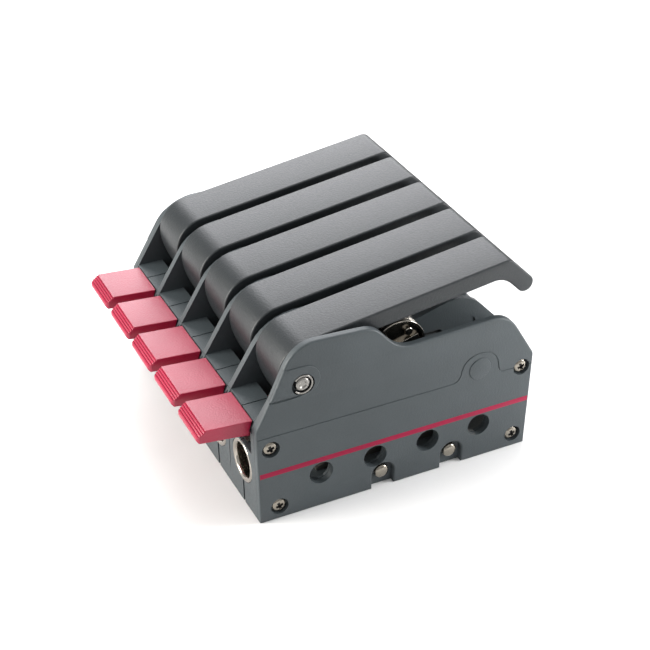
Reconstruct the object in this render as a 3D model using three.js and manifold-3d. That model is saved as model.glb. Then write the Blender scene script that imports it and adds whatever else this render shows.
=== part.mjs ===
// Five-lane rope clutch: a row of lever clutches in one moulded casing.
// Millimetres, +Z up. +X is the right-hand side, -Y the end with the pads, +Y the end with the lever lips.
// Side outlines are drawn as (y, z), with y = 0 at the front bottom edge of the casing.

import * as THREE from 'three';
import { mergeVertices } from 'three/addons/utils/BufferGeometryUtils.js';
import Module from 'manifold-3d';

const wasm = await Module();
wasm.setup();

// Layout across the lanes
const LANES = 5;
const PITCH = 35;
const FIN = 3.6;
const COVER = 3.75;
const SEAM = 0.7;
const SEAM_GROOVE = { half: 0.9, depth: 2 };
const COVER_GAP = 0.15;
const ROW = LANES * PITCH;
const OUTER_X = ROW / 2 + COVER;

// Layout along the rope
const CASE_LENGTH = 162;
const FRONT_LEAN = -0.02;
const REAR_LEAN = 0.024;
const FLOOR_TOP = 14;
const SHELF_TOP = 63.2;
const SHELF_FRONT = 0.6;
const SHELF_REAR = 15.5;
const SHELF_UNDER = 56;
const REAR_WALL_TOP = 58.5;
const FRONT_WALL_REAR = 10.5;
const REAR_WALL_FRONT = 151;

// Axes that run across the casing, as [y, z]
const AXLE = [25.2, 82.1];
const CAM_AXIS = [99.5, 48.8];
const PAD_AXIS = [20, 49.3];
const TIE_BOLTS = { front: [72.4, 8.9], rear: [114.6, 8.9] };
const SCREWS = [[11.2, 8.1], [6.9, 46.8], [156.2, 53.2], [153.8, 8.5]];
const SIDE_HOLES = { first: 35.4, step: 31.9, count: 4, z: 22.1, radius: 6.85 };
const FIN_SLOT = { front: 108, rear: 125, z: 62.8, radius: 1.9 };
const FIN_MARK = { y: 145.4, z: 64.7, radius: 2.8, depth: 0.6 };
const DECK_BOLTS = { y: [24, 140], radius: 3.3 };

// Round parts
const RUNNING_GAP = 0.3;
const AXLE_R = 4;
const CAM_SHAFT_R = 4;
const PAD_PIN_R = 2.5;
const TIE_R = 3;
const TIE_HEAD_R = 4.2;
const TIE_HEAD_HEIGHT = 3.2;
const NOTCH_R = 6.7;
const SCREW_HEAD_R = 4.1;
const SCREW_HEAD_HEIGHT = 2.3;
const SCREW_R = 2;
const SCREW_DEPTH = 7;
const COUNTERBORE_R = 5;
const COUNTERBORE_DEPTH = 2.7;
const RING_R = 5.7;
const RING_RECESS_R = 6.3;
const RING_RECESS_DEPTH = 2.2;
const BOSS_R = 9;
const BOSS_RISE = 0.7;

// Rope way
const ROPE_Z = 27.9;
const EYELET_R = 12.5;
const EYELET_TUBE_R = 10.7;
const EYELET_BORE_R = 9.6;
const EYELET_FLANGE = 2;
const EYELET_LENGTH = 12;
const EYELET_SEAT = { front: 1.2, rear: 160.9, gap: 0.1 };
const TRACK = { front: 38, rear: 128, width: 19, top: 18.4 };
const CAM = { width: 14, hub: 11, radius: 19, growth: 7, teeth: 8, toothDepth: 1 };
const CAM_LUG = { y: 87.5, z: 78.1, radius: 15.6, from: 12, to: 130 };

// Levers and pads
const HANDLE_WIDTH = 28.5;
const HANDLE_SKIN = 3;
const HANDLE_RIB = 6;
const HANDLE_TOP = { z: 97.9, slope: 0.143 };
const HANDLE_UNDER = { z: 87.6, slope: 0.144 };
const NOSE = { y: 32.7, z: 84.3, radius: 18.1 };
const LIP = { y: 159.1, z: 101.7, radius: 5 };
const LIP_LINE = { y: 0.68, z: -0.733 };
const PAD_WIDTH = 28.2;
const PAD_FRONT = -30.2;
const PAD_CORNER = 4;
const PAD_ARM_WIDTH = 15;
const POCKET = { half: 13.6, bottom: 41.5, top: 55.5, depth: 3.2 };
const WINDOW_HALF = 9;

const Y_MIDDLE = (PAD_FRONT + LIP.y + LIP.radius) / 2;

const CURVE_STEPS = 6;
const LEVER_STEPS = 4;
const ROUND_STEPS = 16;
const BORE_STEPS = 12;
const SMALL_STEPS = 8;

const MATERIALS = {
  casing: { color: '#5b6163', roughness: 0.6, metalness: 0 },
  lever: { color: '#3f4144', roughness: 0.45, metalness: 0 },
  pad: { color: '#b02c46', roughness: 0.5, metalness: 0 },
  steel: { color: '#c4c2bc', roughness: 0.25, metalness: 1 },
  jaw: { color: '#8f8b82', roughness: 0.4, metalness: 1 },
};

const product = new THREE.Group();
product.position.y = -Y_MIDDLE;

const laneX = (lane) => ((LANES + 1) / 2 - lane) * PITCH;

// The stretch from a to b, counted outwards on one side, as [low x, high x].
const span = (side, a, b) => (side > 0 ? [a, b] : [-b, -a]);

// --- solids ---------------------------------------------------------------------------------

function toSolid(geometry) {
  const bare = geometry.index ? geometry.toNonIndexed() : geometry.clone();
  bare.deleteAttribute('normal');
  bare.deleteAttribute('uv');
  const merged = mergeVertices(bare, 1e-4);
  const mesh = new wasm.Mesh({
    numProp: 3,
    vertProperties: new Float32Array(merged.attributes.position.array),
    triVerts: new Uint32Array(merged.index.array),
  });
  return new wasm.Manifold(mesh);
}

function toGeometry(solid) {
  const mesh = solid.getMesh();
  const geometry = new THREE.BufferGeometry();
  geometry.setAttribute('position', new THREE.BufferAttribute(mesh.vertProperties, 3));
  geometry.setIndex(new THREE.BufferAttribute(mesh.triVerts, 1));
  return geometry;
}

function addPart(name, solid, kind) {
  const material = new THREE.MeshStandardMaterial(MATERIALS[kind]);
  const mesh = new THREE.Mesh(toGeometry(solid), material);
  mesh.name = name;
  product.add(mesh);
}

// Extrudes an outline drawn in (y, z) across X, from x0 to x1.
function across(shape, x0, x1, steps = CURVE_STEPS) {
  const settings = { depth: x1 - x0, bevelEnabled: false, curveSegments: steps };
  const geometry = new THREE.ExtrudeGeometry(shape, settings);
  geometry.rotateX(Math.PI / 2);
  geometry.rotateZ(Math.PI / 2);
  geometry.translate(x0, 0, 0);
  return toSolid(geometry);
}

function polygon(points) {
  return new THREE.Shape(points.map(([y, z]) => new THREE.Vector2(y, z)));
}

// A cylinder along X, centred on [y, z].
function crossRod([y, z], radius, x0, x1, steps = ROUND_STEPS) {
  const geometry = new THREE.CylinderGeometry(radius, radius, x1 - x0, steps);
  geometry.rotateZ(Math.PI / 2);
  geometry.translate((x0 + x1) / 2, y, z);
  return toSolid(geometry);
}

// A turned part. The profile is a list of [radius, height] that starts and ends on the axis, or
// closes on itself, and has its material on the left-hand side.
function turned(profile, steps = ROUND_STEPS) {
  const points = profile.map(([radius, height]) => new THREE.Vector2(radius, height));
  return new THREE.LatheGeometry(points, steps);
}

// A turned part with its axis along X, its heights counted outwards from the plane x = side * from.
function turnedAcross([y, z], profile, side, from, steps = ROUND_STEPS) {
  const geometry = turned(profile, steps);
  geometry.rotateZ(-side * Math.PI / 2);
  geometry.translate(side * from, y, z);
  return toSolid(geometry);
}

function box(x0, x1, y0, y1, z0, z1) {
  const geometry = new THREE.BoxGeometry(x1 - x0, y1 - y0, z1 - z0);
  geometry.translate((x0 + x1) / 2, (y0 + y1) / 2, (z0 + z1) / 2);
  return toSolid(geometry);
}

// --- casing ---------------------------------------------------------------------------------

const frontFace = (z) => FRONT_LEAN * z;
const rearFace = (z) => CASE_LENGTH + REAR_LEAN * z;

// The outline of a fin or a side cover: a steep front, a rounded shoulder, a dip that shows the
// cam, a level rear part and a sloping rear corner. Only the right-hand cover is tall.
function wallOutline(tall) {
  const shape = new THREE.Shape();
  shape.moveTo(0, 0);
  shape.lineTo(CASE_LENGTH, 0);
  shape.lineTo(rearFace(58.5), 58.5);
  shape.quadraticCurveTo(rearFace(60.5), 60.5, 162.4, 62.1);
  if (tall) {
    shape.lineTo(152.2, 79.1);
    shape.quadraticCurveTo(146.2, 90, 135.4, 89.6);
    shape.lineTo(88.6, 87.5);
    shape.bezierCurveTo(72, 87.6, 73, 104.3, 58.9, 104.8);
    shape.lineTo(32.5, 106.2);
    shape.quadraticCurveTo(20, 106.2, 14.5, 92.9);
    shape.quadraticCurveTo(6.4, 74, frontFace(60), 60);
  } else {
    shape.lineTo(152.4, 73);
    shape.bezierCurveTo(146.2, 80.4, 138, 84, 122, 79);
    shape.bezierCurveTo(104, 73.2, 96, 72.6, 84, 83);
    shape.bezierCurveTo(76, 90, 71, 99.6, 58, 100.3);
    shape.lineTo(38, 100);
    shape.bezierCurveTo(28, 99.4, 19, 93.8, 14.5, 86);
    shape.lineTo(frontFace(60), 60);
  }
  shape.lineTo(0, 0);
  return shape;
}

function addSideHoles(shape) {
  for (let i = 0; i < SIDE_HOLES.count; i += 1) {
    const hole = new THREE.Path();
    hole.absarc(SIDE_HOLES.first + i * SIDE_HOLES.step, SIDE_HOLES.z, SIDE_HOLES.radius, 0, 2 * Math.PI);
    shape.holes.push(hole);
  }
}

function addFinSlot(shape) {
  const { front, rear, z, radius } = FIN_SLOT;
  const corner = 0.5 * radius;
  const slot = new THREE.Path();
  slot.moveTo(front, z - radius);
  slot.lineTo(rear, z - radius);
  slot.lineTo(rear + radius, z - corner);
  slot.lineTo(rear + radius, z + corner);
  slot.lineTo(rear, z + radius);
  slot.lineTo(front, z + radius);
  slot.lineTo(front - radius, z);
  slot.closePath();
  shape.holes.push(slot);
}

// The lower casing in section: floor, front wall with the shelf behind the pads, and rear wall.
function troughOutline() {
  return polygon([
    [0, 0],
    [CASE_LENGTH, 0],
    [rearFace(REAR_WALL_TOP), REAR_WALL_TOP],
    [REAR_WALL_FRONT, REAR_WALL_TOP],
    [REAR_WALL_FRONT, FLOOR_TOP],
    [FRONT_WALL_REAR, FLOOR_TOP],
    [FRONT_WALL_REAR, SHELF_UNDER],
    [SHELF_REAR, SHELF_UNDER],
    [SHELF_REAR, SHELF_TOP],
    [SHELF_FRONT, SHELF_TOP],
    [SHELF_FRONT, POCKET.top + 1],
    [frontFace(POCKET.top), POCKET.top],
  ]);
}

// A cylinder on the rope's line, from y0 to y1.
function ropeCylinder(x, radius, y0, y1) {
  const geometry = new THREE.CylinderGeometry(radius, radius, y1 - y0, ROUND_STEPS);
  geometry.translate(x, (y0 + y1) / 2, ROPE_Z);
  return toSolid(geometry);
}

// What is taken out of the casing in one lane: rope way with its seats, the groove in front of the
// seam, pad pocket and window, and deck bolt holes.
function laneCuts(x) {
  const front = -10;
  const rear = FRONT_WALL_REAR + 1;
  const groove = SEAM_GROOVE;
  let cuts = ropeCylinder(x, EYELET_TUBE_R + RUNNING_GAP, front, CASE_LENGTH - front);
  cuts = cuts.add(ropeCylinder(x, EYELET_R + RUNNING_GAP, front, EYELET_SEAT.front));
  cuts = cuts.add(ropeCylinder(x, EYELET_R + RUNNING_GAP, EYELET_SEAT.rear, CASE_LENGTH - front));
  cuts = cuts.add(box(x - groove.half, x + groove.half, front, groove.depth, -1, ROPE_Z));
  cuts = cuts.add(box(x - POCKET.half, x + POCKET.half, front, POCKET.depth, POCKET.bottom, POCKET.top));
  cuts = cuts.add(box(x - WINDOW_HALF, x + WINDOW_HALF, front, rear, POCKET.bottom, POCKET.top));
  for (const y of DECK_BOLTS.y) {
    const { radius } = DECK_BOLTS;
    const bolt = new THREE.CylinderGeometry(radius, radius, 3 * FLOOR_TOP, SMALL_STEPS);
    bolt.rotateX(Math.PI / 2);
    bolt.translate(x, y, 0);
    cuts = cuts.add(toSolid(bolt));
  }
  return cuts;
}

// The bores for everything that runs across the casing from side to side.
function crossBores(x0, x1) {
  let bores = crossRod(AXLE, AXLE_R + RUNNING_GAP, x0, x1, BORE_STEPS);
  bores = bores.add(crossRod(CAM_AXIS, CAM_SHAFT_R + RUNNING_GAP, x0, x1, BORE_STEPS));
  bores = bores.add(crossRod(PAD_AXIS, PAD_PIN_R + RUNNING_GAP, x0, x1, SMALL_STEPS));
  for (const centre of Object.values(TIE_BOLTS)) {
    bores = bores.add(crossRod(centre, TIE_R + RUNNING_GAP, x0, x1, SMALL_STEPS));
  }
  return bores;
}

function screwHoles(side) {
  const inner = ROW / 2 - SCREW_DEPTH - RUNNING_GAP;
  let holes = null;
  for (const centre of SCREWS) {
    const hole = crossRod(centre, SCREW_R + RUNNING_GAP, ...span(side, inner, OUTER_X + 5), SMALL_STEPS);
    holes = holes ? holes.add(hole) : hole;
  }
  return holes;
}

// A shallow round mark left by the mould on each face of a fin.
function finMark(x0, x1) {
  return crossRod([FIN_MARK.y, FIN_MARK.z], FIN_MARK.radius, x0, x1, BORE_STEPS);
}

// A shell: its fin, and the trough from x0 to x1 on both sides of it.
function makeShell(fin, trough, lanes) {
  const outline = wallOutline(false);
  addSideHoles(outline);
  addFinSlot(outline);
  let shell = across(troughOutline(), ...trough).add(across(outline, ...fin));
  for (const lane of lanes) {
    shell = shell.subtract(laneCuts(laneX(lane)));
  }
  shell = shell.subtract(finMark(fin[0] - 1, fin[0] + FIN_MARK.depth));
  shell = shell.subtract(finMark(fin[1] - FIN_MARK.depth, fin[1] + 1));
  return shell.subtract(crossBores(trough[0] - 1, trough[1] + 1));
}

function makeShells() {
  const seam = SEAM / 2;
  for (const [side, name, lane] of [[1, 'shell_right', 1], [-1, 'shell_left', LANES]]) {
    const end = ROW / 2 - COVER_GAP;
    const fin = span(side, ROW / 2 - FIN / 2, end);
    const trough = span(side, Math.abs(laneX(lane)) + seam, end);
    addPart(name, makeShell(fin, trough, [lane]).subtract(screwHoles(side)), 'casing');
  }
  for (let lane = 1; lane < LANES; lane += 1) {
    const middle = laneX(lane) - PITCH / 2;
    const fin = [middle - FIN / 2, middle + FIN / 2];
    const trough = [laneX(lane + 1) + seam, laneX(lane) - seam];
    const frontLine = box(middle - 0.4, middle + 0.4, -10, frontFace(SHELF_TOP / 2) + 0.5, -1, SHELF_TOP);
    const shell = makeShell(fin, trough, [lane, lane + 1]).subtract(frontLine);
    addPart(`shell_${lane}_${lane + 1}`, shell, 'casing');
  }
}

// The raised patch round the axle, which runs out through the front edge.
function bossOutline() {
  const shape = new THREE.Shape();
  shape.moveTo(-5, AXLE[1] + 2 - BOSS_R);
  shape.absarc(AXLE[0] + 0.5, AXLE[1] + 2, BOSS_R, -Math.PI / 2, Math.PI / 2);
  shape.lineTo(-5, AXLE[1] + 2 + BOSS_R);
  shape.closePath();
  return shape;
}

function makeCover(side, name) {
  const tall = side > 0;
  const outline = wallOutline(tall);
  addSideHoles(outline);
  const top = OUTER_X + BOSS_RISE;
  let cover = across(outline, ...span(side, ROW / 2, OUTER_X));
  const boss = across(bossOutline(), ...span(side, OUTER_X - 1, top));
  cover = cover.add(boss.intersect(across(wallOutline(tall), ...span(side, OUTER_X - 2, top + 1))));
  cover = cover.subtract(crossRod(AXLE, AXLE_R + RUNNING_GAP, ...span(side, 0, top + 1)));
  cover = cover.subtract(crossRod(AXLE, RING_RECESS_R, ...span(side, top - RING_RECESS_DEPTH, top + 1)));
  cover = cover.subtract(screwHoles(side));
  for (const centre of SCREWS) {
    const bore = span(side, OUTER_X - COUNTERBORE_DEPTH, top + 1);
    cover = cover.subtract(crossRod(centre, COUNTERBORE_R, ...bore, ROUND_STEPS));
  }
  for (const [y, z] of Object.values(TIE_BOLTS)) {
    const depth = span(side, 0, top + 1);
    const arch = crossRod([y, z], NOTCH_R, ...depth).add(box(...depth, y - NOTCH_R, y + NOTCH_R, -5, z));
    cover = cover.subtract(arch);
  }
  addPart(name, cover, 'casing');
}

// --- what runs across the casing ------------------------------------------------------------

function makeAxle() {
  const end = OUTER_X + BOSS_RISE - 0.4;
  const dome = 0.8;
  const rod = crossRod(AXLE, AXLE_R, -end + dome, end - dome);
  const tip = [[0, -1], [AXLE_R, -1], [AXLE_R, 0], [AXLE_R - dome, dome], [0, dome]];
  const right = turnedAcross(AXLE, tip, 1, end - dome);
  const left = turnedAcross(AXLE, tip, -1, end - dome);
  addPart('handle_axle', rod.add(right).add(left), 'steel');
  addPart('cam_shaft', crossRod(CAM_AXIS, CAM_SHAFT_R, -ROW / 2 + 0.5, ROW / 2 - 0.5), 'steel');
}

// An open retaining ring that sits in the recess round the axle's end, its gap towards the front.
function makeAxleRing(side, name) {
  const shape = new THREE.Shape();
  const reach = 0.8 * Math.PI;
  shape.absarc(AXLE[0], AXLE[1], RING_R, -reach, reach);
  shape.absarc(AXLE[0], AXLE[1], AXLE_R + RUNNING_GAP, reach, -reach, true);
  shape.closePath();
  const outer = OUTER_X + BOSS_RISE - 0.4;
  addPart(name, across(shape, ...span(side, outer - 1.4, outer)), 'steel');
}

function makeTieBolt(name, centre) {
  const shank = ROW / 2 + 2;
  const head = [[0, 0], [TIE_HEAD_R, 0], [TIE_HEAD_R, 1.4], [0.75 * TIE_HEAD_R, 2.6], [0, TIE_HEAD_HEIGHT]];
  const rod = crossRod(centre, TIE_R, -shank, ROW / 2 + 1, SMALL_STEPS);
  addPart(`tie_bolt_${name}`, rod.add(turnedAcross(centre, head, 1, ROW / 2)), 'steel');
  const bore = TIE_R + RUNNING_GAP;
  const nut = [
    [0, 2 + RUNNING_GAP], [bore, 2 + RUNNING_GAP], [bore, 0], [TIE_HEAD_R, 0],
    [TIE_HEAD_R, 2], [0.75 * TIE_HEAD_R, 3], [0, 3.5],
  ];
  addPart(`tie_nut_${name}`, turnedAcross(centre, nut, -1, ROW / 2), 'steel');
}

function makeSideScrew(side, name, centre) {
  const seat = OUTER_X - COUNTERBORE_DEPTH + 0.1;
  const neck = seat - ROW / 2 + SCREW_DEPTH;
  const profile = [
    [0, -neck], [SCREW_R, -neck], [SCREW_R, 0], [SCREW_HEAD_R, 0], [SCREW_HEAD_R, 1.2],
    [0.8 * SCREW_HEAD_R, 0.85 * SCREW_HEAD_HEIGHT], [0, SCREW_HEAD_HEIGHT],
  ];
  addPart(name, turnedAcross(centre, profile, side, seat, SMALL_STEPS), 'steel');
}

// --- one lane -------------------------------------------------------------------------------

function makeEyelet(name, x, face, inwards) {
  const profile = [
    [EYELET_BORE_R, 1.6], [EYELET_BORE_R + 1.1, 0], [EYELET_R - 0.6, 0], [EYELET_R, 0.6],
    [EYELET_R, EYELET_FLANGE], [EYELET_TUBE_R, EYELET_FLANGE], [EYELET_TUBE_R, EYELET_LENGTH],
    [EYELET_BORE_R, EYELET_LENGTH], [EYELET_BORE_R, 1.6],
  ];
  const geometry = turned(profile);
  if (inwards < 0) {
    geometry.rotateZ(Math.PI);
  }
  geometry.translate(x, face, ROPE_Z);
  addPart(name, toSolid(geometry), 'steel');
}

// The lower jaw: a plate on the floor with ramped ends and cross grooves under the cam.
function makeTrack(name, x) {
  const { front, rear, width, top } = TRACK;
  const bottom = FLOOR_TOP + 0.2;
  const points = [[front, bottom], [rear, bottom], [rear, bottom + 1.5], [rear - 6, top]];
  const grooves = 6;
  const pitch = 4;
  const last = CAM_AXIS[0] + 6 + (grooves / 2) * pitch;
  for (let i = 0; i < grooves; i += 1) {
    const y = last - i * pitch;
    points.push([y, top], [y - 0.6, top - 0.8], [y - 2, top]);
  }
  points.push([front + 6, top], [front, bottom + 1.5]);
  addPart(name, across(polygon(points), x - width / 2, x + width / 2), 'jaw');
}

// The clamp cam in section: a toothed spiral below its shaft and a lug that the lever presses on.
function camOutline() {
  const [cy, cz] = CAM_AXIS;
  const first = -2.6;
  const last = -0.7;
  const toothStep = (last - first) / CAM.teeth;
  const reach = (angle) => CAM.radius + CAM.growth * (angle + Math.PI / 2);
  const at = (angle, radius) => [cy + radius * Math.cos(angle), cz + radius * Math.sin(angle)];
  const points = [];
  for (let i = 0; i < CAM.teeth; i += 1) {
    const angle = first + i * toothStep;
    points.push(at(angle, reach(angle) - CAM.toothDepth), at(angle + 0.15 * toothStep, reach(angle)));
  }
  points.push(at(last, reach(last)), [cy + CAM.hub, cz]);
  const lugSteps = 10;
  for (let i = 0; i <= lugSteps; i += 1) {
    const angle = THREE.MathUtils.degToRad(CAM_LUG.from + (i / lugSteps) * (CAM_LUG.to - CAM_LUG.from));
    const y = CAM_LUG.y + CAM_LUG.radius * Math.cos(angle);
    const z = CAM_LUG.z + CAM_LUG.radius * Math.sin(angle);
    points.push([y, z]);
  }
  points.push([CAM_LUG.y - 7, CAM_LUG.z + 2], [cy - CAM.hub - 1, CAM_LUG.z - 5], [cy - CAM.hub, cz + 4]);
  return polygon(points);
}

function makeCam(name, x) {
  const half = CAM.width / 2;
  const bore = crossRod(CAM_AXIS, CAM_SHAFT_R + RUNNING_GAP, x - half - 1, x + half + 1);
  addPart(name, across(camOutline(), x - half, x + half).subtract(bore), 'steel');
}

// The lever in section: flat top, hooked lip, and a barrel nose that tapers down behind the shelf.
function handleOutline() {
  const tilt = Math.atan(HANDLE_TOP.slope);
  const topAt = (y) => HANDLE_TOP.z + HANDLE_TOP.slope * y;
  const underAt = (y) => HANDLE_UNDER.z + HANDLE_UNDER.slope * y;
  const normal = { y: -LIP_LINE.z * LIP.radius, z: LIP_LINE.y * LIP.radius };
  const lipAngle = Math.atan2(normal.z, normal.y);
  const shape = new THREE.Shape();
  shape.moveTo(146, topAt(146));
  shape.absarc(NOSE.y, NOSE.z, NOSE.radius, Math.PI / 2 + tilt, Math.PI * 1.05);
  shape.quadraticCurveTo(16.5, 69, 27, 53);
  shape.quadraticCurveTo(31, 48.3, 35, 53);
  shape.quadraticCurveTo(41, 60, 46, 73.3);
  shape.quadraticCurveTo(53, 95, 70, underAt(70));
  shape.lineTo(139.6, underAt(139.6));
  shape.quadraticCurveTo(145.8, 108.4, 151.1, 102.9);
  shape.absarc(LIP.y, LIP.z, LIP.radius, lipAngle + Math.PI, lipAngle + 2 * Math.PI);
  shape.lineTo(150.8, topAt(148.6) - 1.8);
  shape.quadraticCurveTo(148.9, topAt(148.6), 146, topAt(146));
  return shape;
}

// The hollow under the lever, open below.
function handleHollow() {
  const roofAt = (y) => HANDLE_TOP.z + HANDLE_TOP.slope * y - HANDLE_SKIN - 0.6;
  return polygon([[42, 45], [140.5, 45], [140.5, roofAt(140.5)], [44, roofAt(44)], [42, roofAt(44) - 2]]);
}

function makeHandle(name, x) {
  const half = HANDLE_WIDTH / 2;
  const ribBottom = CAM_LUG.z + CAM_LUG.radius + 0.5;
  const skinAt = (y) => HANDLE_TOP.z + HANDLE_TOP.slope * y - HANDLE_SKIN / 2;
  const rib = polygon([
    [60, skinAt(60) - 6], [CAM_LUG.y - 4, ribBottom], [CAM_LUG.y + 4, ribBottom], [112, skinAt(112) - 3],
    [112, skinAt(112)], [60, skinAt(60)],
  ]);
  let handle = across(handleOutline(), x - half, x + half, LEVER_STEPS);
  handle = handle.subtract(across(handleHollow(), x - half + HANDLE_SKIN, x + half - HANDLE_SKIN));
  handle = handle.add(across(rib, x - HANDLE_RIB / 2, x + HANDLE_RIB / 2));
  handle = handle.subtract(crossRod(AXLE, AXLE_R + RUNNING_GAP, x - half - 1, x + half + 1));
  addPart(name, handle, 'lever');
}

// The pad in section: a flat top, four grip ridges on its sloping front, and a rounded tip.
function padOutline() {
  const shape = new THREE.Shape();
  const start = { y: -25.2, z: 64.6 };
  const end = { y: -29.6, z: 61 };
  const ridges = 4;
  const groove = 0.5;
  const along = (t, sink) => [
    start.y + t * (end.y - start.y) + 0.63 * sink,
    start.z + t * (end.z - start.z) - 0.77 * sink,
  ];
  shape.moveTo(0.1, 62.7);
  shape.lineTo(...along(0, 0));
  for (let i = 0; i < ridges; i += 1) {
    shape.lineTo(...along((i + 0.3) / ridges, groove));
    shape.lineTo(...along((i + 0.55) / ridges, 0));
    shape.lineTo(...along((i + 0.98) / ridges, 0));
  }
  shape.quadraticCurveTo(PAD_FRONT - 1, 59.4, -28.8, 57.4);
  shape.lineTo(-2.4, 54.3);
  shape.closePath();
  return shape;
}

// The pad's plan, with rounded front corners, as an upright prism.
function padPlan(x) {
  const half = PAD_WIDTH / 2;
  const plan = new THREE.Shape();
  plan.moveTo(x - half, 10);
  plan.lineTo(x - half, PAD_FRONT + PAD_CORNER);
  plan.quadraticCurveTo(x - half, PAD_FRONT, x - half + PAD_CORNER, PAD_FRONT);
  plan.lineTo(x + half - PAD_CORNER, PAD_FRONT);
  plan.quadraticCurveTo(x + half, PAD_FRONT, x + half, PAD_FRONT + PAD_CORNER);
  plan.lineTo(x + half, 10);
  plan.closePath();
  const settings = { depth: SHELF_TOP + 10, bevelEnabled: false, curveSegments: LEVER_STEPS };
  return toSolid(new THREE.ExtrudeGeometry(plan, settings));
}

function makePad(name, x) {
  const half = PAD_WIDTH / 2;
  const hubHalf = PITCH / 2 - FIN / 2 - 0.5;
  const pinHalf = PITCH / 2 - 0.9;
  const arm = polygon([
    [-4, 49.3], [PAD_AXIS[0], 45.4], [PAD_AXIS[0], 53.2], [10, 54.4], [-1, 55.1], [-4, 56],
  ]);
  let pad = across(padOutline(), x - half - 1, x + half + 1, LEVER_STEPS).intersect(padPlan(x));
  pad = pad.add(across(arm, x - PAD_ARM_WIDTH / 2, x + PAD_ARM_WIDTH / 2));
  pad = pad.add(crossRod(PAD_AXIS, 4.5, x - hubHalf, x + hubHalf, SMALL_STEPS));
  pad = pad.add(crossRod(PAD_AXIS, PAD_PIN_R, x - pinHalf, x + pinHalf, SMALL_STEPS));
  addPart(name, pad, 'pad');
}

// A folded leaf between the sill of the window and the arm of the pad, closed up as far as a pressed
// pad closes it.
function makePadSpring(name, x) {
  const leaf = polygon([
    [1, 41.8], [9.6, 41.8], [10.6, 42.9], [2.6, 45.6], [2.2, 45], [9.4, 42.7], [9.2, 42.4], [1, 42.4],
  ]);
  addPart(name, across(leaf, x - 4, x + 4), 'steel');
}

// --- assembly -------------------------------------------------------------------------------

makeShells();
makeCover(1, 'side_cover_right');
makeCover(-1, 'side_cover_left');
makeAxle();
makeAxleRing(1, 'axle_ring_right');
makeAxleRing(-1, 'axle_ring_left');
for (const [name, centre] of Object.entries(TIE_BOLTS)) {
  makeTieBolt(name, centre);
}
for (const [side, word] of [[1, 'right'], [-1, 'left']]) {
  SCREWS.forEach((centre, i) => makeSideScrew(side, `side_screw_${word}_${i + 1}`, centre));
}
for (let lane = 1; lane <= LANES; lane += 1) {
  const x = laneX(lane);
  makeHandle(`handle_${lane}`, x);
  makePad(`pad_${lane}`, x);
  makePadSpring(`pad_spring_${lane}`, x);
  makeCam(`cam_${lane}`, x);
  makeTrack(`rope_track_${lane}`, x);
  makeEyelet(`eyelet_front_${lane}`, x, EYELET_SEAT.front - EYELET_SEAT.gap - EYELET_FLANGE, 1);
  makeEyelet(`eyelet_rear_${lane}`, x, EYELET_SEAT.rear + EYELET_SEAT.gap + EYELET_FLANGE, -1);
}

export default product;
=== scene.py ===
# Looks of the five-lane rope clutch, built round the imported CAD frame.
# Lengths are millimetres in the side frame of the part: y = 0 at the front bottom edge of the casing,
# z = 0 at the base. The helpers turn them into Blender's metres.

import math

import bmesh
import bpy
from mathutils import Matrix, Vector


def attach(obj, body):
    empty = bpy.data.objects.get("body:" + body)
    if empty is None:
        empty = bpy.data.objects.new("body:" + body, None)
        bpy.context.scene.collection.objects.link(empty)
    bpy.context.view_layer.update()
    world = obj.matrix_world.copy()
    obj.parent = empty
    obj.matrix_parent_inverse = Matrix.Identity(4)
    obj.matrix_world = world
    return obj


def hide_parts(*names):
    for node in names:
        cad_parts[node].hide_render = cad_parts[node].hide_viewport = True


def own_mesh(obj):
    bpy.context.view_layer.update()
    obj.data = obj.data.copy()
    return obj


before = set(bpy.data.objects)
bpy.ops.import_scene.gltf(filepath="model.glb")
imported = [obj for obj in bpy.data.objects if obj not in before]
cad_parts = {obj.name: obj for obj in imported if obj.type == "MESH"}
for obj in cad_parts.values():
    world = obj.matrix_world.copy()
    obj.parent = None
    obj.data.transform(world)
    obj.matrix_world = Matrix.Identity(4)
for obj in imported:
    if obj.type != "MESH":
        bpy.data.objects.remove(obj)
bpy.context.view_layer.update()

MM = 0.001

# Driving dimensions, as in the part
LANES = 5
PITCH = 35
ROW = LANES * PITCH
COVER = 3.75
OUTER_X = ROW / 2 + COVER
CASE_LENGTH = 162
FRONT_LEAN = -0.02
REAR_LEAN = 0.024
AXLE = (25.2, 82.1)
CAM_AXIS = (99.5, 48.8)
PAD_AXIS = (20, 49.3)
TIE_BOLTS = {"front": (72.4, 8.9), "rear": (114.6, 8.9)}
SCREWS = [(11.2, 8.1), (6.9, 46.8), (156.2, 53.2), (153.8, 8.5)]
SIDE_HOLES = [(35.4 + 31.9 * i, 22.1) for i in range(4)]
SIDE_HOLE_R = 6.85
RUNNING_GAP = 0.3
AXLE_R = 4
CAM_SHAFT_R = 4
PAD_PIN_R = 2.5
TIE_R = 3
TIE_HEAD_R = 4.2
TIE_HEAD_HEIGHT = 3.2
NOTCH_R = 6.7
SCREW_R = 2
SCREW_HEAD_R = 4.1
SCREW_HEAD_HEIGHT = 2.3
COUNTERBORE_R = 5
COUNTERBORE_DEPTH = 2.7
RING_R = 5.7
RING_RECESS_R = 6.3
BOSS_R = 9
BOSS_RISE = 0.7
ROPE_Z = 27.9
EYELET_R = 12.5
EYELET_TUBE_R = 10.7
EYELET_BORE_R = 9.6
EYELET_FLANGE = 2
EYELET_LENGTH = 12
CAM_R = 19
CAM_GROWTH = 7
CAM_HUB = 11
CAM_LUG = (87.5, 78.1)
CAM_LUG_R = 15.6
HANDLE_WIDTH = 28.5
HANDLE_SKIN = 3
HANDLE_RIB = 6
HANDLE_TOP = {"z": 97.9, "slope": 0.143}
HANDLE_UNDER = {"z": 87.6, "slope": 0.144}
NOSE = (32.7, 84.3)
NOSE_R = 18.1
LIP = (159.1, 101.7)
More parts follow.
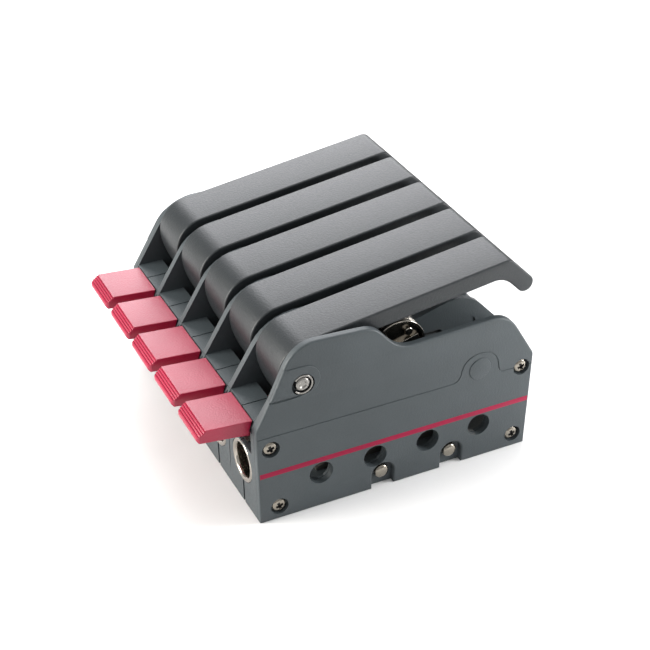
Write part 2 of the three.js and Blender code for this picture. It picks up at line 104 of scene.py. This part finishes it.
LIP_R = 5
PAD_WIDTH = 28.2
PAD_FRONT = -30.2
PAD_CORNER = 4
PAD_ARM_WIDTH = 15
Y_MIDDLE = (PAD_FRONT + LIP[0] + LIP_R) / 2

# Dimensions of smaller details
COVER_EDGE = 1.1
BOSS_LEVEL = 0.45
AXLE_END = OUTER_X + BOSS_RISE - 0.4
RING_WIDTH = 1
PLUG = (129.6, 60)
PLUG_R = 6.6
STRIPE_Z = (29.4, 32.5)
FRONT_FLANGE = -0.9
REAR_FLANGE = 163
SPRING_BASE = 41.8

SIDES = ((1, "right"), (-1, "left"))


def lane_x(lane):
    return ((LANES + 1) / 2 - lane) * PITCH


def place(x, y, z):
    """A point of the side frame in metres."""
    return Vector((x * MM, (y - Y_MIDDLE) * MM, z * MM))


# --- outlines, as lists of (y, z) -------------------------------------------------------------


def arc(centre, radius, start, end, steps=24):
    """Points round centre, from start to end in degrees, 0 pointing along +y and 90 along +z."""
    points = []
    for i in range(steps + 1):
        angle = math.radians(start + (end - start) * i / steps)
        points.append((centre[0] + radius * math.cos(angle), centre[1] + radius * math.sin(angle)))
    return points


def circle(centre, radius, steps=48):
    return arc(centre, radius, 0, 360, steps)[:-1]


def bezier(*controls, steps=14):
    """Points of a Bezier curve of any degree, its first point left out."""
    points = []
    for i in range(1, steps + 1):
        t = i / steps
        level = [Vector(c) for c in controls]
        while len(level) > 1:
            level = [a.lerp(b, t) for a, b in zip(level, level[1:])]
        points.append(tuple(level[0]))
    return points


def front_face(z):
    return FRONT_LEAN * z


def rear_face(z):
    return CASE_LENGTH + REAR_LEAN * z


def wall_outline(tall):
    """A side cover: steep front, rounded shoulder, dip over the cam, sloping rear corner, notches."""
    points = [(0, 0)]
    for centre in TIE_BOLTS.values():
        points.append((centre[0] - NOTCH_R, 0))
        points += arc(centre, NOTCH_R, 180, 0)
        points.append((centre[0] + NOTCH_R, 0))
    points += [(CASE_LENGTH, 0), (rear_face(58.5), 58.5)]
    points += bezier((rear_face(58.5), 58.5), (rear_face(60.5), 60.5), (162.4, 62.1))
    if tall:
        points += [(152.2, 79.1)]
        points += bezier((152.2, 79.1), (146.2, 90), (135.4, 89.6))
        points += [(88.6, 87.5)]
        points += bezier((88.6, 87.5), (72, 87.6), (73, 104.3), (58.9, 104.8), steps=24)
        points += [(32.5, 106.2)]
        points += bezier((32.5, 106.2), (20, 106.2), (14.5, 92.9))
        points += bezier((14.5, 92.9), (6.4, 74), (front_face(60), 60))
    else:
        points += [(152.4, 73)]
        points += bezier((152.4, 73), (146.2, 80.4), (138, 84), (122, 79))
        points += bezier((122, 79), (104, 73.2), (96, 72.6), (84, 83))
        points += bezier((84, 83), (76, 90), (71, 99.6), (58, 100.3))
        points += [(38, 100)]
        points += bezier((38, 100), (28, 99.4), (19, 93.8), (14.5, 86))
        points += [(front_face(60), 60)]
    return points


# --- meshes -----------------------------------------------------------------------------------


def new_object(name, mesh):
    obj = bpy.data.objects.new(name, mesh)
    bpy.context.scene.collection.objects.link(obj)
    return obj


def soften(obj, angle=35):
    """Smooth shading with the edges sharper than angle kept crisp."""
    for face in obj.data.polygons:
        face.use_smooth = True
    obj.data.set_sharp_from_angle(angle=math.radians(angle))


def sheet(name, loops, thickness, bevel, steps):
    """A flat piece of that thickness as a mesh in mm, the first loop outside and the rest holes."""
    curve = bpy.data.curves.new(name, "CURVE")
    curve.dimensions = "2D"
    curve.fill_mode = "BOTH"
    curve.extrude = thickness / 2 - bevel
    curve.bevel_depth = bevel
    curve.bevel_resolution = steps
    curve.offset = -bevel
    for loop in loops:
        spline = curve.splines.new("POLY")
        spline.points.add(len(loop) - 1)
        for point, (u, v) in zip(spline.points, loop):
            point.co = (u, v, 0, 1)
        spline.use_cyclic_u = True
    source = new_object(name, curve)
    mesh = bpy.data.meshes.new_from_object(source)
    bpy.data.objects.remove(source)
    return mesh


def plate(name, loops, x0, x1, bevel=0.4, steps=3):
    """Outlines in (y, z) made solid from x0 to x1."""
    mesh = sheet(name, loops, x1 - x0, bevel, steps)
    for vertex in mesh.vertices:
        y, z, x = vertex.co
        vertex.co = place(x + (x0 + x1) / 2, y, z)
    obj = new_object(name, mesh)
    weld(obj)
    soften(obj)
    return obj


def column(name, loops, z0, z1, bevel=0.05, steps=1):
    """Outlines in (x, y) made solid from z0 to z1."""
    mesh = sheet(name, loops, z1 - z0, bevel, steps)
    for vertex in mesh.vertices:
        x, y, z = vertex.co
        vertex.co = place(x, y, z + (z0 + z1) / 2)
    obj = new_object(name, mesh)
    weld(obj)
    soften(obj)
    return obj


def weld(obj):
    build = bmesh.new()
    build.from_mesh(obj.data)
    bmesh.ops.remove_doubles(build, verts=build.verts, dist=1e-6)
    bmesh.ops.recalc_face_normals(build, faces=build.faces)
    build.to_mesh(obj.data)
    build.free()


def lathe(name, profile, steps=64):
    """A turned piece round the local Z axis. The profile is a list of (radius, height) in mm."""
    build = bmesh.new()
    rings = []
    for radius, height in profile:
        if radius < 1e-6:
            rings.append([build.verts.new((0, 0, height * MM))])
            continue
        ring = []
        for i in range(steps):
            angle = 2 * math.pi * i / steps
            point = Vector((radius * math.cos(angle), radius * math.sin(angle), height)) * MM
            ring.append(build.verts.new(point))
        rings.append(ring)
    for low, high in zip(rings, rings[1:]):
        for i in range(steps):
            j = (i + 1) % steps
            corners = [low[i % len(low)], low[j % len(low)], high[j % len(high)], high[i % len(high)]]
            face = [v for k, v in enumerate(corners) if v not in corners[:k]]
            if len(face) > 2:
                build.faces.new(face)
    bmesh.ops.recalc_face_normals(build, faces=build.faces)
    mesh = bpy.data.meshes.new(name)
    build.to_mesh(mesh)
    build.free()
    obj = new_object(name, mesh)
    soften(obj)
    return obj


def aim(obj, point, direction):
    """Turns the local Z axis of obj's mesh to direction and moves it to point, in the mesh itself."""
    turn = Vector((0, 0, 1)).rotation_difference(Vector(direction)).to_matrix().to_4x4()
    obj.data.transform(Matrix.Translation(point) @ turn)
    return obj


def box(name, x0, x1, y0, y1, z0, z1):
    """A plain block."""
    return plate(name, [[(y0, z0), (y1, z0), (y1, z1), (y0, z1)]], x0, x1, bevel=0.1, steps=1)


def join(name, pieces):
    """One object made of several meshes."""
    build = bmesh.new()
    for piece in pieces:
        build.from_mesh(piece.data)
    mesh = bpy.data.meshes.new(name)
    build.to_mesh(mesh)
    build.free()
    for piece in pieces:
        bpy.data.objects.remove(piece)
    obj = new_object(name, mesh)
    soften(obj)
    return obj


def carve(obj, cutter, operation="DIFFERENCE"):
    """obj with cutter taken out of it, or cut down to what the two share. The cutter is used up."""
    modifier = obj.modifiers.new("carve", "BOOLEAN")
    modifier.operation = operation
    modifier.solver = "EXACT"
    modifier.object = cutter
    bpy.context.view_layer.update()
    result = bpy.data.meshes.new_from_object(obj.evaluated_get(bpy.context.evaluated_depsgraph_get()))
    obj.modifiers.clear()
    obj.data = result
    bpy.data.objects.remove(cutter)
    soften(obj)
    return obj


def wire(name, points, radius, x):
    """A round rod that follows points (y, z) in the plane x, to carve a groove with."""
    curve = bpy.data.curves.new(name, "CURVE")
    curve.dimensions = "3D"
    curve.bevel_depth = radius * MM
    curve.bevel_resolution = 2
    curve.use_fill_caps = True
    spline = curve.splines.new("POLY")
    spline.points.add(len(points) - 1)
    for point, (y, z) in zip(spline.points, points):
        point.co = (*place(x, y, z), 1)
    source = new_object(name, curve)
    mesh = bpy.data.meshes.new_from_object(source)
    bpy.data.objects.remove(source)
    obj = new_object(name, mesh)
    weld(obj)
    return obj


# --- materials --------------------------------------------------------------------------------


def link(tree, source, target):
    tree.links.new(source, target)


def spread(tree, source, low, high):
    """The middle of a noise stretched over the values from low to high."""
    node = tree.nodes.new("ShaderNodeMapRange")
    node.inputs["From Min"].default_value = 0.3
    node.inputs["From Max"].default_value = 0.7
    node.inputs["To Min"].default_value = low
    node.inputs["To Max"].default_value = high
    link(tree, source, node.inputs["Value"])
    return node.outputs["Result"]


def noise(tree, where, scale, detail):
    node = tree.nodes.new("ShaderNodeTexNoise")
    node.inputs["Scale"].default_value = scale
    node.inputs["Detail"].default_value = detail
    link(tree, where, node.inputs["Vector"])
    return node.outputs["Fac"]


def material(name, color, roughness, metallic=0.0, grain=900, bump=0.12, vary=0.08, gloss=0.5,
             streak=None):
    """Fine grain, small changes in roughness and colour, and optional brushed streaks."""
    mat = bpy.data.materials.new(name)
    mat.use_nodes = True
    tree = mat.node_tree
    shader = tree.nodes["Principled BSDF"]
    shader.inputs["Metallic"].default_value = metallic
    shader.inputs["Specular IOR Level"].default_value = gloss
    where = tree.nodes.new("ShaderNodeTexCoord").outputs["Object"]
    if streak:
        stretch = tree.nodes.new("ShaderNodeMapping")
        stretch.inputs["Scale"].default_value = streak
        link(tree, where, stretch.inputs["Vector"])
        where = stretch.outputs["Vector"]
    fine = noise(tree, where, grain, 3)
    broad = noise(tree, where, 28, 5)
    tint = tree.nodes.new("ShaderNodeMix")
    tint.data_type = "RGBA"
    tint.blend_type = "MULTIPLY"
    tint.inputs["Factor"].default_value = 1
    tint.inputs["A"].default_value = (*color, 1)
    link(tree, spread(tree, broad, 1 - vary, 1 + vary), tint.inputs["B"])
    link(tree, tint.outputs["Result"], shader.inputs["Base Color"])
    link(tree, spread(tree, fine, roughness - 0.05, roughness + 0.05), shader.inputs["Roughness"])
    relief = tree.nodes.new("ShaderNodeBump")
    relief.inputs["Strength"].default_value = bump
    relief.inputs["Distance"].default_value = 0.0002
    link(tree, fine, relief.inputs["Height"])
    link(tree, relief.outputs["Normal"], shader.inputs["Normal"])
    return mat


CASING = material("casing plastic", (0.045, 0.055, 0.06), 0.5, grain=900, bump=0.5, gloss=0.42)
LEVER = material("lever plastic", (0.013, 0.016, 0.018), 0.43, grain=900, bump=0.6, gloss=0.42)
PAD = material("pad plastic", (0.3, 0.005, 0.034), 0.36, grain=1000, bump=0.75, gloss=0.56)
STRIPE = material("stripe print", (0.25, 0.004, 0.034), 0.45, grain=1200, bump=0.05, gloss=0.2)
STEEL = material("polished steel", (0.42, 0.39, 0.345), 0.2, metallic=1, grain=700, bump=0.04, vary=0.05)
SCREW = material("screw steel", (0.29, 0.265, 0.225), 0.25, metallic=1, grain=700, bump=0.06)
TURNED = material("brushed steel", (0.26, 0.25, 0.235), 0.32, metallic=1, grain=500, streak=(1, 8, 1))
JAW = material("jaw metal", (0.4, 0.38, 0.34), 0.38, metallic=1, grain=600, bump=0.15)
# Near-black painted shade for the cross recesses of the screw heads, not a colour of the steel.
PAINTED_SHADE = material("recess", (0.012, 0.01, 0.009), 0.6, grain=800, bump=0.05)


def finish_piece(obj, mat, slot, body, *nodes):
    """A piece's material, the body it rides on and the nodes it stands for, which it hides. The slot
    argument is not used.
    """
    obj.data.materials.clear()
    obj.data.materials.append(mat)
    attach(obj, body)
    if nodes:
        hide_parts(*nodes)


def dress(node, mat, bevel=0.35, angle=35):
    """Keeps a CAD node, with clean flat faces, rounded edges and a material."""
    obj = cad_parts[node]
    obj.data.materials.clear()
    obj.data.materials.append(mat)
    flat = obj.modifiers.new("flat faces", "DECIMATE")
    flat.decimate_type = "DISSOLVE"
    flat.angle_limit = math.radians(1)
    rounded = obj.modifiers.new("rounded edges", "BEVEL")
    rounded.width = bevel * MM
    rounded.segments = 3
    rounded.limit_method = "ANGLE"
    rounded.angle_limit = math.radians(angle)
    rounded.use_clamp_overlap = True
    rounded.harden_normals = True
    for face in obj.data.polygons:
        face.use_smooth = True
    even = obj.modifiers.new("even shading", "WEIGHTED_NORMAL")
    even.keep_sharp = True
    even.weight = 80


# --- casing -----------------------------------------------------------------------------------


def span(side, a, b):
    return (a, b) if side > 0 else (-b, -a)


def parting_line():
    """The line between the two halves of the moulding, with its loop round the plug."""
    points = [(front_face(55) - 1, 54.9), (111.5, 54.9)]
    points += bezier((111.5, 54.9), (117.4, 54.9), (118, 60))
    points += bezier((118, 60), (119.4, 69.6), (129, 70.2))
    points += bezier((129, 70.2), (140.3, 70.2), (141.4, 58))
    points += bezier((141.4, 58), (141.6, 54.2), (145.5, 54.1))
    points += [(rear_face(54) + 1, 54.1)]
    return points


def drill(name, loops, side, depth_from):
    """Straight-walled cutters that reach from depth_from out past the cover."""
    return plate(name, loops, *span(side, depth_from, OUTER_X + 3), bevel=0.02, steps=0)


def make_boss(side, name, outline):
    """The low raised patch round the axle, which runs out over the front edge of the cover."""
    level = OUTER_X + BOSS_LEVEL
    patch = [(-5, 76.6), (22, 76.4), (27, 77.2)]
    patch += arc((AXLE[0] + 0.5, AXLE[1] + 2), BOSS_R, -50, 92)
    patch += [(-5, 93.4)]
    boss = plate(name, [patch], *span(side, OUTER_X - 1.5, level), bevel=0.3)
    trim = plate("trim", [outline], *span(side, ROW / 2, level), bevel=COVER_EDGE, steps=5)
    boss = carve(boss, trim, "INTERSECT")
    return carve(boss, drill("ring", [circle(AXLE, RING_RECESS_R)], side, OUTER_X - COUNTERBORE_DEPTH))


def make_cover(side, name):
    """The outer wall: rounded outer edge, holes, counterbores, parting line, patch and plug."""
    outline = wall_outline(side > 0)
    cover = plate(name, [outline], *span(side, ROW / 2 - COVER_EDGE, OUTER_X), bevel=COVER_EDGE, steps=5)
    cover = carve(cover, box("inner", *span(side, ROW / 2 - 5, ROW / 2), -5, CASE_LENGTH + 5, -5, 120))
    through = [circle(centre, SIDE_HOLE_R) for centre in SIDE_HOLES] + [circle(AXLE, AXLE_R + RUNNING_GAP)]
    cover = carve(cover, drill("holes", through, side, ROW / 2 - 3))
    bores = [circle(centre, COUNTERBORE_R) for centre in SCREWS] + [circle(AXLE, RING_RECESS_R)]
    cover = carve(cover, drill("bores", bores, side, OUTER_X - COUNTERBORE_DEPTH))
    cover = carve(cover, wire("parting line", parting_line(), 0.4, side * OUTER_X))
    lower_edge = [(-2, 75.8), (17, 75.6), (23, 75.9), (28, 77.5)]
    cover = carve(cover, wire("lower edge", lower_edge, 0.75, side * OUTER_X))
    boss = make_boss(side, name + "_boss", outline)
    plug_disc = circle(PLUG, PLUG_R)
    plug = plate(name + "_plug", [plug_disc], *span(side, OUTER_X - 0.5, OUTER_X + 0.4), bevel=0.35)
    cover = join(name, [cover, boss, plug])
    finish_piece(cover, CASING, "casing_plastic", "casing", name)


def make_stripe(side, name):
    """The thin coloured band along the cover."""
    front = [(front_face(z) + 1, z) for z in STRIPE_Z]
    rear = [(rear_face(z) - 1, z) for z in reversed(STRIPE_Z)]
    stripe = plate(name, [front + rear], *span(side, OUTER_X - 0.4, OUTER_X + 0.06), bevel=0.04, steps=1)
    finish_piece(stripe, STRIPE, "pad_plastic", "casing")


def dome(radius, foot, rise, steps):
    """A quarter of an ellipse, from (radius, foot) up to the middle."""
    points = []
    for i in range(steps + 1):
        angle = math.pi / 2 * i / steps
        points.append((radius * math.cos(angle), foot + rise * math.sin(angle)))
    return points


def make_side_screw(side, name, centre):
    """A pan head with its cross recess painted dark as shade, and its neck down into the casing."""
    rim = 0.7
    neck = [(0, -3), (SCREW_R, -3), (SCREW_R, 0), (SCREW_HEAD_R - 0.15, 0), (SCREW_HEAD_R, 0.2)]
    head = lathe(name, neck + dome(SCREW_HEAD_R, rim, SCREW_HEAD_HEIGHT - rim, 10))
    for turn in (20, 110):
        slot = box("cross", -0.8, 0.8, Y_MIDDLE - 2.1, Y_MIDDLE + 2.1, 0.6, 4)
        slot.data.transform(Matrix.Rotation(math.radians(turn), 4, "Z"))
        head = carve(head, slot)
    finish_piece(head, SCREW, "stainless", "casing", name)
    # A second material, painted shade, for the faces inside the cross recess instead of steel.
    head.data.materials.append(PAINTED_SHADE)
    for face in head.data.polygons:
        middle = face.center / MM
        inside = middle.xy.length < 2.2 and 0.3 < middle.z < SCREW_HEAD_HEIGHT - 0.25
        face.material_index = int(inside)
    aim(head, place(side * (OUTER_X - COUNTERBORE_DEPTH + 0.1), *centre), (side, 0, 0))


def make_axle_end(side, name):
    """The open ring in the recess, its gap towards the front."""
    reach = 144
    points = arc(AXLE, RING_R, -reach, reach, 40) + arc(AXLE, RING_R - RING_WIDTH, reach, -reach, 40)
    ring = plate(name, [points], *span(side, AXLE_END - 1.4, AXLE_END), bevel=0.25)
    finish_piece(ring, TURNED, "stainless", "casing", name)


def make_axle():
    """The long rod of the levers, dimpled and chamfered at both ends."""
    end = [(0, 0.7), (1.5, 0.6), (2.1, 0), (AXLE_R - 1.1, 0), (AXLE_R - 0.4, 0.3), (AXLE_R, 0.9)]
    profile = [(radius, depth - AXLE_END) for radius, depth in end]
    profile += [(radius, -height) for radius, height in reversed(profile)]
    axle = aim(lathe("axle_rod", profile), place(0, *AXLE), (1, 0, 0))
    finish_piece(axle, TURNED, "stainless", "casing", "handle_axle")


def make_tie_bolt(name, centre):
    """The long bolt with a domed head on the near side and a hexagon cap nut on the far one."""
    rim = 1.3
    shank = [(0, -ROW - 2), (TIE_R, -ROW - 2), (TIE_R, 0), (TIE_HEAD_R - 0.1, 0), (TIE_HEAD_R, 0.2)]
    head = lathe("bolt_" + name, shank + dome(TIE_HEAD_R, rim, TIE_HEAD_HEIGHT - rim, 8))
    aim(head, place(ROW / 2, *centre), (1, 0, 0))
    finish_piece(head, SCREW, "stainless", "casing", "tie_bolt_" + name)
    nut = lathe("nut_" + name, [(0, 0), (TIE_HEAD_R, 0)] + dome(TIE_HEAD_R, 1.6, 1.9, 8), 6)
    soften(nut, 20)
    aim(nut, place(-ROW / 2, *centre), (-1, 0, 0))
    finish_piece(nut, SCREW, "stainless", "casing", "tie_nut_" + name)


# --- one lane ---------------------------------------------------------------------------------


def make_eyelet(name, x, face, inwards):
    """A rope bush: a rounded flange, a flared throat and a tube into the casing."""
    lip = 0.9
    flare = (1.7, 1.9)
    profile = [(EYELET_TUBE_R, EYELET_LENGTH), (EYELET_TUBE_R, EYELET_FLANGE), (EYELET_R, EYELET_FLANGE)]
    profile += arc((EYELET_R - lip, lip), lip, 0, -90, 6)
    for radius, height in arc((0, 0), 1, -90, -180, 8):
        profile.append((EYELET_BORE_R + flare[0] * (1 + radius), flare[1] * (1 + height)))
    profile += [(EYELET_BORE_R, EYELET_LENGTH), (EYELET_TUBE_R, EYELET_LENGTH)]
    ring = lathe(name, profile, 96)
    aim(ring, place(x, face, ROPE_Z), (0, inwards, 0))
    finish_piece(ring, STEEL, "stainless", "casing", name)


def top_at(y):
    """Height of the lever's flat top."""
    return HANDLE_TOP["z"] + HANDLE_TOP["slope"] * y


def under_at(y):
    """Height of the lever's lower edge behind the nose."""
    return HANDLE_UNDER["z"] + HANDLE_UNDER["slope"] * y


def handle_outline():
    """The lever from the side: flat top, hooked lip, and a barrel nose that tapers down."""
    tilt = math.degrees(math.atan(HANDLE_TOP["slope"]))
    lip_angle = math.degrees(math.atan2(0.68, 0.733))
    points = arc(NOSE, NOSE_R, 90 + tilt, 189, 40)
    points += bezier(points[-1], (16.5, 69), (27, 53))
    points += bezier((27, 53), (31, 48.3), (35, 53))
    points += bezier((35, 53), (41, 60), (46, 73.3))
    points += bezier((46, 73.3), (53, 95), (70, under_at(70)))
    points += [(139.6, under_at(139.6))]
    points += bezier((139.6, under_at(139.6)), (145.8, 108.4), (151.1, 102.9))
    points += arc(LIP, LIP_R - 0.02, lip_angle + 180, lip_angle + 360, 30)
    points += [(150.8, top_at(148.6) - 1.8)]
    points += bezier((150.8, top_at(148.6) - 1.8), (148.9, top_at(148.6) - 0.06), (146, top_at(146)))
    return points


def make_handle(lane):
    """The lever, hollow below, with a stiffening rib in the hollow."""
    x = lane_x(lane)
    name = f"handle_{lane}"
    half = HANDLE_WIDTH / 2
    lever = plate(name, [handle_outline()], x - half, x + half, bevel=1, steps=5)

    def roof(y):
        return top_at(y) - HANDLE_SKIN - 0.6

    hollow = [(42, 45), (140.5, 45), (140.5, roof(140.5)), (44, roof(44)), (42, roof(44) - 2)]
    inside = half - HANDLE_SKIN
    lever = carve(lever, plate("hollow", [hollow], x - inside, x + inside, bevel=0.8))
    rib_side = [(60, top_at(60) - 7.5), (91, 92), (99, 92), (112, top_at(112) - 4.5)]
    rib_side += [(112, top_at(112) - 1.5), (60, top_at(60) - 1.5)]
    rib = plate("rib", [rib_side], x - HANDLE_RIB / 2, x + HANDLE_RIB / 2, bevel=0.4)
    lever = join(name, [lever, rib])
    finish_piece(lever, LEVER, "lever_plastic", f"lever_{lane}", name)


def pad_outline():
    """The pad from the side: flat top, four grip ridges down its sloping front, a rounded tip."""
    start = Vector((-25.2, 64.6))
    end = Vector((-29.6, 61))
    inward = Vector((0.63, -0.77))
    points = [(0.1, 62.7), tuple(start)]
    ridges = 4
    for i in range(ridges):
        for share, sink in ((0.2, 0.15), (0.32, 0.5), (0.44, 0.5), (0.6, 0.05), (0.95, 0)):
            points.append(tuple(start.lerp(end, (i + share) / ridges) + sink * inward))
    points += bezier(points[-1], (PAD_FRONT - 0.9, 59.4), (-28.8, 57.4))
    points += [(-2.4, 54.3)]
    return points


def pad_plan(x):
    """The pad from above, with rounded front corners."""
    half = PAD_WIDTH / 2 + 0.1
    front = PAD_FRONT - 0.1
    corner = front + PAD_CORNER
    points = [(x + half, 10), (x - half, 10), (x - half, corner)]
    points += bezier((x - half, corner), (x - half, front), (x - half + PAD_CORNER, front))
    points += [(x + half - PAD_CORNER, front)]
    points += bezier((x + half - PAD_CORNER, front), (x + half, front), (x + half, corner))
    return points


def make_pad(lane):
    """The press pad with its arm, hub and pin."""
    x = lane_x(lane)
    name = f"pad_{lane}"
    half = PAD_WIDTH / 2
    key = plate(name, [pad_outline()], x - half, x + half, bevel=0.5, steps=4)
    key = carve(key, column("plan", [pad_plan(x)], 40, 80), "INTERSECT")
    bar = [(-4, 49.3), (PAD_AXIS[0], 45.4), (PAD_AXIS[0], 53.2), (10, 54.4), (-1, 55.1), (-4, 56)]
    arm = plate("arm", [bar], x - PAD_ARM_WIDTH / 2, x + PAD_ARM_WIDTH / 2, bevel=0.4)
    hub = plate("hub", [circle(PAD_AXIS, 4.4)], x - 15, x + 15, bevel=0.3)
    pin = plate("pin", [circle(PAD_AXIS, PAD_PIN_R)], x - 16.6, x + 16.6, bevel=0.2)
    pad = join(name, [key, arm, hub, pin])
    finish_piece(pad, PAD, "pad_plastic", f"press_pad_{lane}", name)


def make_pad_spring(lane):
    """The folded leaf under the arm of the pad."""
    x = lane_x(lane)
    leaf = [(1, SPRING_BASE), (9.6, SPRING_BASE), (10.6, 42.9), (2.6, 47.4), (2.2, 46.8)]
    leaf += [(9.4, 42.7), (9.2, 42.4), (1, 42.4)]
    spring = plate(f"leaf_{lane}", [leaf], x - 4, x + 4, bevel=0.1, steps=1)
    finish_piece(spring, TURNED, "stainless", "casing", f"pad_spring_{lane}")
    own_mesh(spring)


def make_cam(lane):
    """The clamp cam: a toothed foot, two polished cheeks with a pocket in each, a pin and a wedge."""
    name = f"cam_{lane}"
    teeth = 12
    first = -2.6
    last = -0.7
    points = []
    for i in range(teeth):
        for share, cut in ((0, 1), (0.2, 0.1)):
            turn = first + (last - first) * (i + share) / teeth
            reach = CAM_R + CAM_GROWTH * (turn + math.pi / 2) - cut
            points.append((CAM_AXIS[0] + reach * math.cos(turn), CAM_AXIS[1] + reach * math.sin(turn)))
    points += [(CAM_AXIS[0] + CAM_HUB, CAM_AXIS[1])]
    points += arc(CAM_LUG, CAM_LUG_R, 12, 130, 40)
    points += [(80.5, 80.1), (87.5, 73.1), (CAM_AXIS[0] - CAM_HUB, CAM_AXIS[1] + 4)]
    bore = circle(CAM_AXIS, CAM_SHAFT_R + RUNNING_GAP)
    pocket = arc(CAM_LUG, CAM_LUG_R - 1.5, 12, 126, 40) + [(82.4, 81.4), (89.5, 74.6), (101, 74.6)]
    cheeks = [plate("cheek", [points, bore, pocket], *span(side, 4.4, 7), bevel=0.4) for side in (1, -1)]
    web = plate("web", [points, bore], -4.5, 4.5, bevel=0.1)
    pin = plate("pin", [circle((93.5, 85.6), 2.5)], -6.9, 6.9, bevel=0.9)
    wedge = plate("wedge", [[(85.5, 79.3), (101.2, 77.6), (99, 83)]], -6.8, 6.8, bevel=0.5)
    cam = join(name, cheeks + [web, pin, wedge])
    cam.data.transform(Matrix.Translation((lane_x(lane) * MM, 0, 0)))
    finish_piece(cam, STEEL, "stainless", f"clamp_{lane}", name)


# --- the object -------------------------------------------------------------------------------

for shell in ["shell_right", "shell_left"] + [f"shell_{lane}_{lane + 1}" for lane in range(1, LANES)]:
    dress(shell, CASING, bevel=0.7)
for side, word in SIDES:
    make_cover(side, "side_cover_" + word)
    make_stripe(side, f"side_cover_{word}_stripe")
for side, word in SIDES:
    make_axle_end(side, "axle_ring_" + word)
    for number, centre in enumerate(SCREWS, 1):
        make_side_screw(side, f"side_screw_{word}_{number}", centre)
make_axle()
for name, centre in TIE_BOLTS.items():
    make_tie_bolt(name, centre)
dress("cam_shaft", TURNED, bevel=0.1)
for lane in range(1, LANES + 1):
    make_handle(lane)
    make_pad(lane)
    make_pad_spring(lane)
    make_cam(lane)
    make_eyelet(f"eyelet_front_{lane}", lane_x(lane), FRONT_FLANGE, 1)
    make_eyelet(f"eyelet_rear_{lane}", lane_x(lane), REAR_FLANGE, -1)
    dress(f"rope_track_{lane}", JAW, bevel=0.15)

# --- floor, light and camera ------------------------------------------------------------------


def make_floor():
    mesh = bpy.data.meshes.new("floor")
    reach = 40
    corners = [(-reach, -reach, 0), (reach, -reach, 0), (reach, reach, 0), (-reach, reach, 0)]
    mesh.from_pydata(corners, [], [(0, 1, 2, 3)])
    floor = new_object("floor", mesh)
    floor.data.materials.append(material("floor", (0.8, 0.8, 0.8), 0.7, grain=60, bump=0.01, vary=0.01))


def soft_light(name, position, target, size, watts, color=(1, 1, 1)):
    data = bpy.data.lights.new(name, "AREA")
    data.shape = "DISK"
    data.size = size
    data.energy = watts
    data.color = color
    light = new_object(name, data)
    light.location = position
    light.visible_camera = False
    light.rotation_euler = (Vector(target) - Vector(position)).to_track_quat("-Z", "Y").to_euler()


def make_camera():
    data = bpy.data.cameras.new("camera")
    data.lens = 81.6
    data.sensor_width = 36
    camera = new_object("camera", data)
    camera.location = place(637.5, -227.45, 510.1)
    azimuth = math.radians(64.13)
    elevation = math.radians(33.11)
    level = math.cos(elevation)
    back = Vector((math.sin(azimuth) * level, -math.cos(azimuth) * level, math.sin(elevation)))
    camera.rotation_euler = back.to_track_quat("Z", "Y").to_euler()
    bpy.context.scene.camera = camera


def make_world():
    """An even white sky, a little darker towards the horizon."""
    world = bpy.data.worlds.new("studio")
    world.use_nodes = True
    tree = world.node_tree
    height = tree.nodes.new("ShaderNodeSeparateXYZ")
    link(tree, tree.nodes.new("ShaderNodeTexCoord").outputs["Generated"], height.inputs["Vector"])
    glow = tree.nodes.new("ShaderNodeMapRange")
    glow.inputs["From Max"].default_value = 0.8
    glow.inputs["To Min"].default_value = 0.45
    glow.inputs["To Max"].default_value = 0.72
    link(tree, height.outputs["Z"], glow.inputs["Value"])
    background = tree.nodes["Background"]
    background.inputs["Color"].default_value = (1, 1, 1, 1)
    link(tree, glow.outputs["Result"], background.inputs["Strength"])
    bpy.context.scene.world = world


make_floor()
soft_light("sheen", (-1.15, 0.45, 0.85), (0, 0.03, 0.1), 1.3, 23, (0.97, 0.97, 1))
soft_light("overhead", (0.1, 0.2, 1.5), (0, 0, 0), 1.2, 8)
soft_light("front", (-0.3, -1.25, 0.45), (0, -0.05, 0.03), 0.7, 30, (1, 0.98, 0.93))
soft_light("rear side", (0.26, 0.38, 0.16), (0.09, 0.08, 0.05), 0.14, 1.7)
make_camera()
make_world()
view = bpy.context.scene.view_settings
view.view_transform = "Standard"
view.look = "None"
view.exposure = 0
